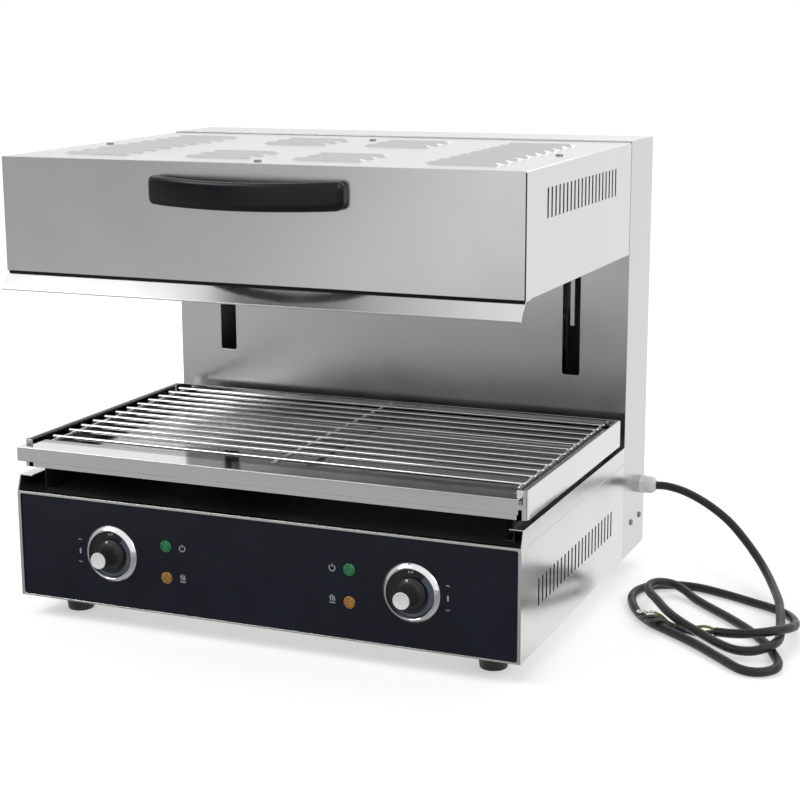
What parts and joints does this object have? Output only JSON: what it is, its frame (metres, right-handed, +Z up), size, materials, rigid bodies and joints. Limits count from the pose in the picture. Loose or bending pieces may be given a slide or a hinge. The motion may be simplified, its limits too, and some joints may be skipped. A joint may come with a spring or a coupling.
{
  "type": "cheese melter",
  "caption": "Countertop electric grill: a counterweighted heated hood slides up and down at the back over a wire grate and drip pan, above a control box with two dials",
  "frame": {"origin": "middle of the footprint on the surface the feet stand on, without the mains cord and its gland", "axes": "+Z up, -Y out of the front with the dials and the handle, +X to the right seen from the front"},
  "size_m": [0.8395, 0.509, 0.5282],
  "materials": {
    "brushed_stainless": "satin",
    "plain_steel": "satin",
    "reflector_steel": "satin",
    "screw_steel": "satin",
    "chrome_ring": "polished",
    "black_panel": "gloss",
    "black_knob": "satin",
    "black_handle": "satin",
    "regulator_case": "matte",
    "green_lens": "gloss",
    "amber_lens": "gloss",
    "black_rubber": "matte",
    "black_steel": "matte",
    "wire_steel": "satin",
    "rod_steel": "polished",
    "bearing_alloy": "satin",
    "cast_iron": "matte",
    "pulley_steel": "satin",
    "steel_cable": "satin",
    "mineral_wool": "matte",
    "heater_sheath": "matte",
    "terminal_plastic": "satin",
    "gland_plastic": "satin",
    "core_insulation": "satin",
    "tinned_copper": "satin"
  },
  "bodies": {
    "chassis": {"side_panel_left": "brushed_stainless", "side_panel_right": "brushed_stainless", "base_deck": "plain_steel", "base_floor": "plain_steel", "front_frame": "brushed_stainless", "fascia_panel": "black_panel", "dial_ring_left": "chrome_ring", "dial_ring_right": "chrome_ring", "regulator_left": "regulator_case", "regulator_right": "regulator_case", "pilot_green_left": "green_lens", "pilot_amber_left": "amber_lens", "pilot_green_right": "green_lens", "pilot_amber_right": "amber_lens", "feet": "black_rubber", "carrier_plinth": "black_steel", "pan_carrier": "brushed_stainless", "tower_shell": "brushed_stainless", "tower_top": "brushed_stainless", "rear_cover": "plain_steel", "tower_screws": "screw_steel", "bracket_bottom": "plain_steel", "bracket_top": "plain_steel", "guide_rod_left": "rod_steel", "guide_rod_right": "rod_steel", "pulley_axles": "rod_steel", "cables_over_pulleys": "steel_cable", "terminal_block": "terminal_plastic", "gland": "gland_plastic", "cord": "black_rubber", "conductors": "core_insulation", "lugs": "tinned_copper"},
    "hood": {"hood_cover": "brushed_stainless", "hood_front": "brushed_stainless", "hood_lip": "brushed_stainless", "hood_rear": "plain_steel", "hood_brace": "plain_steel", "hood_screws": "screw_steel", "handle": "black_handle", "reflector": "reflector_steel", "insulation": "mineral_wool", "heater_left": "heater_sheath", "heater_right": "heater_sheath", "heater_combs": "plain_steel", "lift_arm_left": "plain_steel", "lift_arm_right": "plain_steel", "bearing_block_left": "bearing_alloy", "bearing_block_right": "bearing_alloy", "carriage_bar": "plain_steel", "cables_hood_side": "steel_cable"},
    "counterweight": {"counterweight": "cast_iron", "cables_weight_side": "steel_cable"},
    "pulley_left": {"pulley_left": "pulley_steel"},
    "pulley_right": {"pulley_right": "pulley_steel"},
    "knob_left": {"knob_left": "black_knob", "control_shaft_left": "plain_steel"},
    "knob_right": {"knob_right": "black_knob", "control_shaft_right": "plain_steel"},
    "drip_pan": {"drip_pan": "brushed_stainless"},
    "grate": {"grate": "wire_steel"}
  },
  "joints": [
    {"name": "hood_lift", "type": "slide", "parent": "chassis", "child": "hood", "axis": [0, 0, 1], "range_m": [-0.15, 0], "deforming": ["cables_hood_side"]},
    {"name": "counterweight_slide", "type": "slide", "parent": "chassis", "child": "counterweight", "axis": [0, 0, 1], "range_m": [0, 0.15], "deforming": ["cables_weight_side"]},
    {"name": "pulley_left_turn", "type": "hinge", "parent": "chassis", "child": "pulley_left", "pos_m": [-0.12, 0.214, 0.491], "axis": [1, 0, 0], "range_deg": [-430, 10]},
    {"name": "pulley_right_turn", "type": "hinge", "parent": "chassis", "child": "pulley_right", "pos_m": [0.12, 0.214, 0.491], "axis": [1, 0, 0], "range_deg": [-430, 10]},
    {"name": "knob_left_turn", "type": "hinge", "parent": "chassis", "child": "knob_left", "pos_m": [-0.18, -0.22, 0.086], "axis": [0, 1, 0], "range_deg": [0, 270]},
    {"name": "knob_right_turn", "type": "hinge", "parent": "chassis", "child": "knob_right", "pos_m": [0.18, -0.22, 0.086], "axis": [0, 1, 0], "range_deg": [0, 270]},
    {"name": "pan_slide", "type": "slide", "parent": "chassis", "child": "drip_pan", "axis": [0, -1, 0], "range_m": [0, 0.3]},
    {"name": "grate_lift", "type": "slide", "parent": "drip_pan", "child": "grate", "axis": [0, 0, 1], "range_m": [0, 0.02]}
  ],
  "couplings": [
    {"joint": "counterweight_slide", "follows": "hood_lift", "ratio": -1},
    {"joint": "pulley_left_turn", "follows": "hood_lift", "rad_per_m": 45.455},
    {"joint": "pulley_right_turn", "follows": "hood_lift", "rad_per_m": 45.455}
  ]
}
